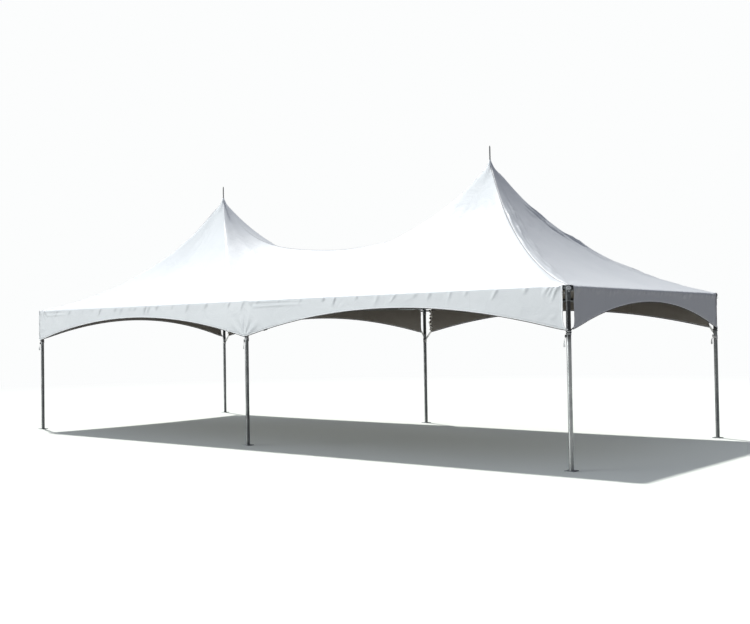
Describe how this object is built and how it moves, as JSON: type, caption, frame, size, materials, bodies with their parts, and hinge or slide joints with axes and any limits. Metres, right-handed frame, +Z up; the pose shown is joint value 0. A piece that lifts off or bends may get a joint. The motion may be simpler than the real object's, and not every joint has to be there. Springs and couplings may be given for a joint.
{
  "type": "marquee tent with two peaks",
  "caption": "Open-sided marquee tent: tube legs and eave frame, masts on crossing cables, white canopy drawn up to two peaks, arched valances.",
  "frame": {"origin": "on the ground under the middle of the tent, midway between the two middle legs", "axes": "+X along the long side to the right, +Y to the back, +Z up"},
  "size_m": [12.35, 5.15, 4.96],
  "materials": {
    "canvas": "satin",
    "tube": "satin",
    "fitting": "satin",
    "rope": "satin",
    "cap": "matte"
  },
  "bodies": {
    "root": {"base_plate_front_left": "fitting", "leg_front_left": "tube", "crown_front_left": "fitting", "base_plate_back_left": "fitting", "leg_back_left": "tube", "crown_back_left": "fitting", "base_plate_front_mid": "fitting", "leg_front_mid": "tube", "crown_front_mid": "fitting", "base_plate_back_mid": "fitting", "leg_back_mid": "tube", "crown_back_mid": "fitting", "base_plate_front_right": "fitting", "leg_front_right": "tube", "crown_front_right": "fitting", "base_plate_back_right": "fitting", "leg_back_right": "tube", "crown_back_right": "fitting", "eave_tube_front_left": "tube", "eave_tube_front_right": "tube", "eave_tube_back_left": "tube", "eave_tube_back_right": "tube", "eave_tube_gable_left": "tube", "cross_tube_mid": "tube", "eave_tube_gable_right": "tube", "mast_left": "tube", "mast_foot_left": "fitting", "cable_left_1": "rope", "cable_left_2": "rope", "cable_left_3": "rope", "cable_left_4": "rope", "peak_cap_left": "cap", "mast_right": "tube", "mast_foot_right": "fitting", "cable_right_1": "rope", "cable_right_2": "rope", "cable_right_3": "rope", "cable_right_4": "rope", "peak_cap_right": "cap", "roof_canopy": "canvas", "valance_front": "canvas", "valance_back_left": "canvas", "valance_back_right": "canvas", "valance_gable_left": "canvas", "valance_gable_right": "canvas"}
  },
  "joints": []
}
